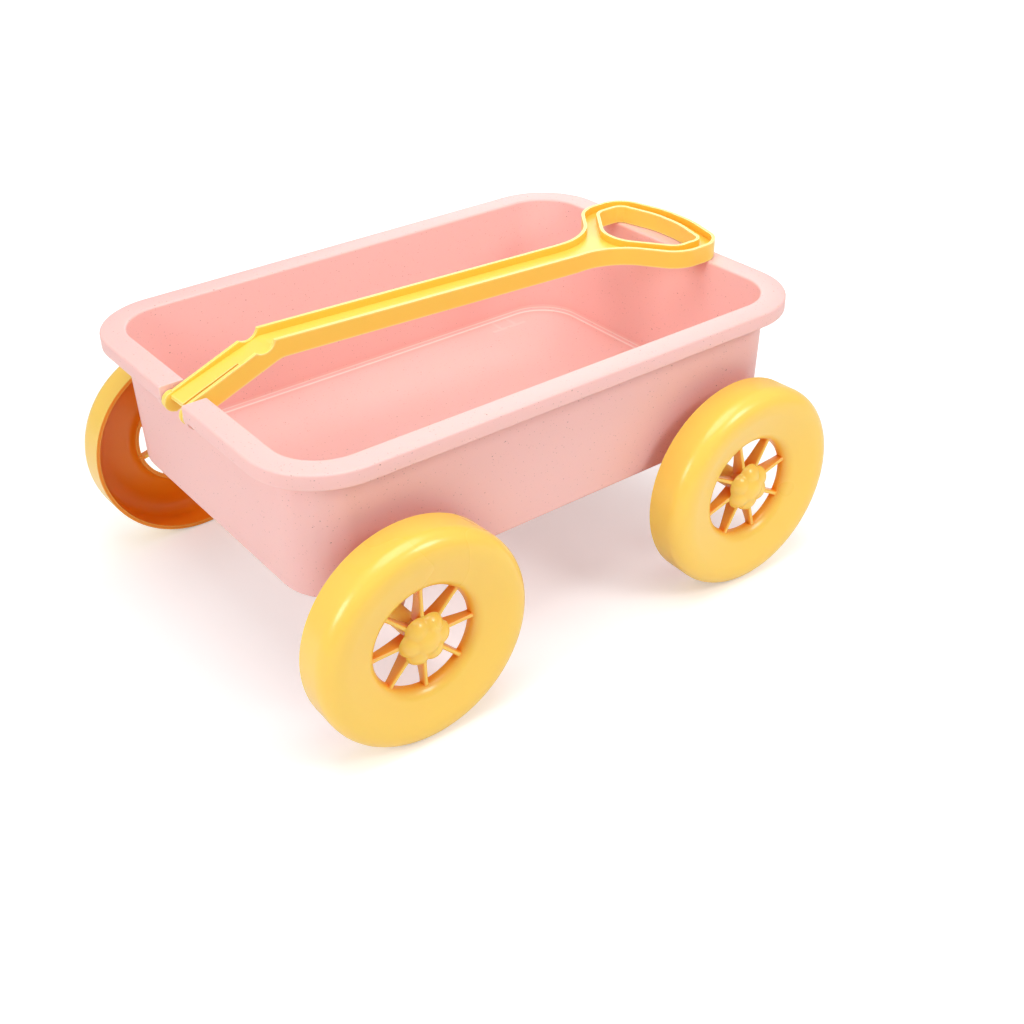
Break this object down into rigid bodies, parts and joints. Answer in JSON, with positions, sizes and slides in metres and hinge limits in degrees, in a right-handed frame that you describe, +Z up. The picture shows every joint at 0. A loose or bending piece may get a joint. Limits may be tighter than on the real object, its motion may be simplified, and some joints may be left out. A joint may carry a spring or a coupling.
{
  "type": "kids pull wagon",
  "caption": "Small child's pull wagon: open rectangular tub with a rolled rim, spoked hollow wheels with flower caps, and a loop-grip handle folded back over the tub.",
  "frame": {"origin": "on the ground, at the centre of the wagon's bounding box with the handle folded back", "axes": "+X towards the front, where the handle is hinged; +Y to the wagon's left, along the axles; +Z up"},
  "size_m": [0.31, 0.25, 0.1556],
  "materials": {
    "tub_plastic": "matte moulded plastic with fine dark straw flecks",
    "handle_plastic": "smooth semi-gloss moulded plastic",
    "wheel_plastic": "smooth semi-gloss moulded plastic",
    "cap_plastic": "smooth semi-gloss moulded plastic",
    "axle_steel": "drawn, plated",
    "nut_steel": "plated spring steel"
  },
  "bodies": {
    "wagon": {"tub": "tub_plastic", "axle_front": "axle_steel", "axle_rear": "axle_steel", "push_nut_front_left": "nut_steel", "push_nut_front_right": "nut_steel", "push_nut_rear_left": "nut_steel", "push_nut_rear_right": "nut_steel"},
    "handle": {"handle": "handle_plastic"},
    "wheel_front_left": {"wheel_front_left": "wheel_plastic", "hub_cap_front_left": "cap_plastic"},
    "wheel_front_right": {"wheel_front_right": "wheel_plastic", "hub_cap_front_right": "cap_plastic"},
    "wheel_rear_left": {"wheel_rear_left": "wheel_plastic", "hub_cap_rear_left": "cap_plastic"},
    "wheel_rear_right": {"wheel_rear_right": "wheel_plastic", "hub_cap_rear_right": "cap_plastic"}
  },
  "joints": [
    {"name": "handle_pivot", "type": "hinge", "parent": "wagon", "child": "handle", "pos_m": [0.1454, 0, 0.133], "axis": [0, 1, 0], "range_deg": [0, 202]},
    {"name": "wheel_spin_front_left", "type": "hinge", "parent": "wagon", "child": "wheel_front_left", "pos_m": [0.101, 0.11, 0.054], "axis": [0, 1, 0], "continuous": true},
    {"name": "wheel_spin_front_right", "type": "hinge", "parent": "wagon", "child": "wheel_front_right", "pos_m": [0.101, -0.11, 0.054], "axis": [0, 1, 0], "continuous": true},
    {"name": "wheel_spin_rear_left", "type": "hinge", "parent": "wagon", "child": "wheel_rear_left", "pos_m": [-0.097, 0.11, 0.054], "axis": [0, 1, 0], "continuous": true},
    {"name": "wheel_spin_rear_right", "type": "hinge", "parent": "wagon", "child": "wheel_rear_right", "pos_m": [-0.097, -0.11, 0.054], "axis": [0, 1, 0], "continuous": true}
  ]
}
